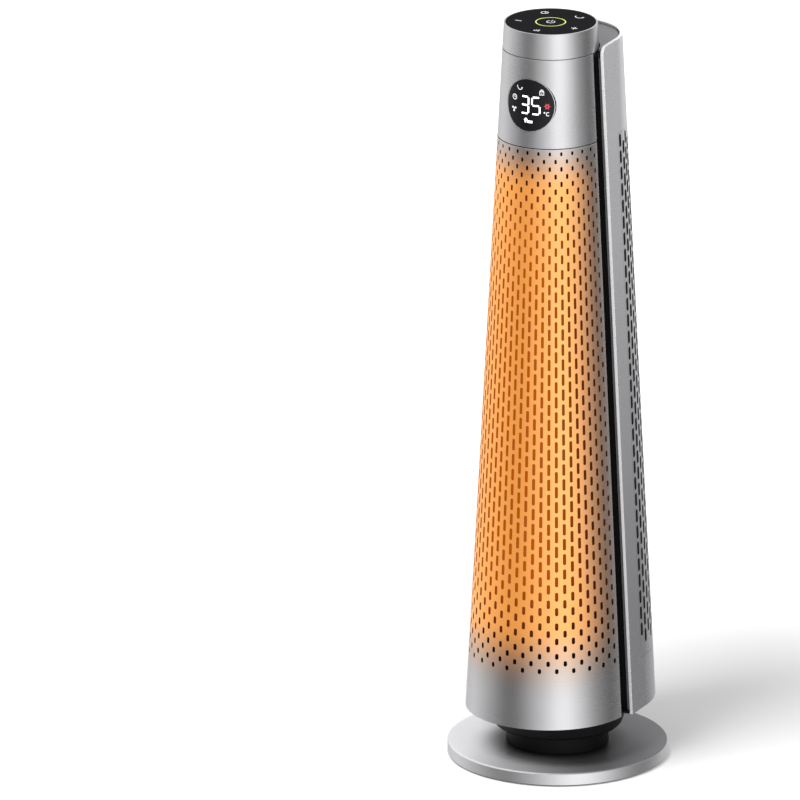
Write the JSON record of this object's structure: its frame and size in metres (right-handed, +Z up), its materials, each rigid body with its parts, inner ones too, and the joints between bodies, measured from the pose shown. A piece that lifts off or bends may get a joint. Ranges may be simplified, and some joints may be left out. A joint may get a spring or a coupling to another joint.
{
  "type": "tower space heater",
  "caption": "Tall tapered tower fan heater on a round base: slotted front, round display, touch panel on top, carry grip behind, motor-driven swing and cross-flow blower.",
  "frame": {"origin": "centre of the base on the floor, on the swing axis", "axes": "+Z up, the grille and display face -Y, +X to the right of someone facing +Y"},
  "size_m": [0.258, 0.258, 0.9],
  "materials": {
    "silver_skin": "brushed satin",
    "silver_lid": "satin",
    "black_plastic": "satin",
    "black_glass": "gloss",
    "rubber": "matte",
    "steel": "plain",
    "iron": "painted",
    "white_plastic": "plain",
    "motor_metal": "plain",
    "wheel_metal": "plain",
    "fin_metal": "plain",
    "heater_ceramic": "plain",
    "heater_frame": "plain",
    "mesh_metal": "dark",
    "filter_cloth": "matte",
    "circuit_board": "plain",
    "light_ring": "lit"
  },
  "bodies": {
    "base": {"base_bottom": "black_plastic", "base_feet": "rubber", "base_weight": "iron", "base_cover": "silver_skin", "pedestal": "black_plastic", "base_screws": "steel", "swivel_post": "steel", "post_collar": "steel", "thrust_ring": "white_plastic", "tilt_switch": "black_plastic", "cord_gland": "rubber", "sun_gear": "white_plastic"},
    "tower": {"swivel_dish": "black_plastic", "tower_floor": "black_plastic", "swivel_bush": "white_plastic", "swing_motor": "motor_metal", "side_rail_left": "black_plastic", "edge_seal_left": "rubber", "side_rail_right": "black_plastic", "edge_seal_right": "rubber", "front_grille": "silver_skin", "intake_grille": "silver_skin", "guard_mesh": "mesh_metal", "intake_filter": "filter_cloth", "rear_shell": "silver_skin", "rear_hood": "silver_skin", "grip_cup": "black_plastic", "top_deck": "black_plastic", "rear_lid": "silver_lid", "cap_ring": "silver_skin", "control_panel": "black_glass", "power_light_ring": "light_ring", "touch_board": "circuit_board", "display_shell": "silver_skin", "display_lens": "black_glass", "display_bezel": "black_plastic", "display_board": "circuit_board", "digit_module": "black_plastic", "blower_motor": "motor_metal", "motor_mounts": "rubber", "duct_floor": "black_plastic", "duct_roof": "black_plastic", "top_bearing": "white_plastic", "scroll_wall": "black_plastic", "tongue_wall": "black_plastic", "heater_frame": "heater_frame", "heater_strips": "heater_ceramic", "heater_fins": "fin_metal", "heater_tabs": "steel", "thermal_cutout": "steel", "main_board": "circuit_board", "board_spacers": "black_plastic", "heat_relays": "black_plastic", "board_capacitor": "black_plastic", "floor_screws": "steel", "duct_arms": "black_plastic"},
    "pinion": {"pinion_gear": "white_plastic", "pinion_shaft": "steel"},
    "blower": {"blower_wheel": "wheel_metal", "blower_shaft": "steel"}
  },
  "joints": [
    {"name": "tower_swing", "type": "hinge", "parent": "base", "child": "tower", "pos_m": [0, 0, 0.05], "axis": [0, 0, 1], "range_deg": [-35, 35]},
    {"name": "pinion_spin", "type": "hinge", "parent": "tower", "child": "pinion", "pos_m": [0, 0.04, 0.045], "axis": [0, 0, 1], "range_deg": [-105, 105]},
    {"name": "blower_spin", "type": "hinge", "parent": "tower", "child": "blower", "pos_m": [0, 0.034, 0.4], "axis": [0, 0, 1], "continuous": true}
  ],
  "couplings": [
    {"joint": "pinion_spin", "follows": "tower_swing", "ratio": 3}
  ]
}
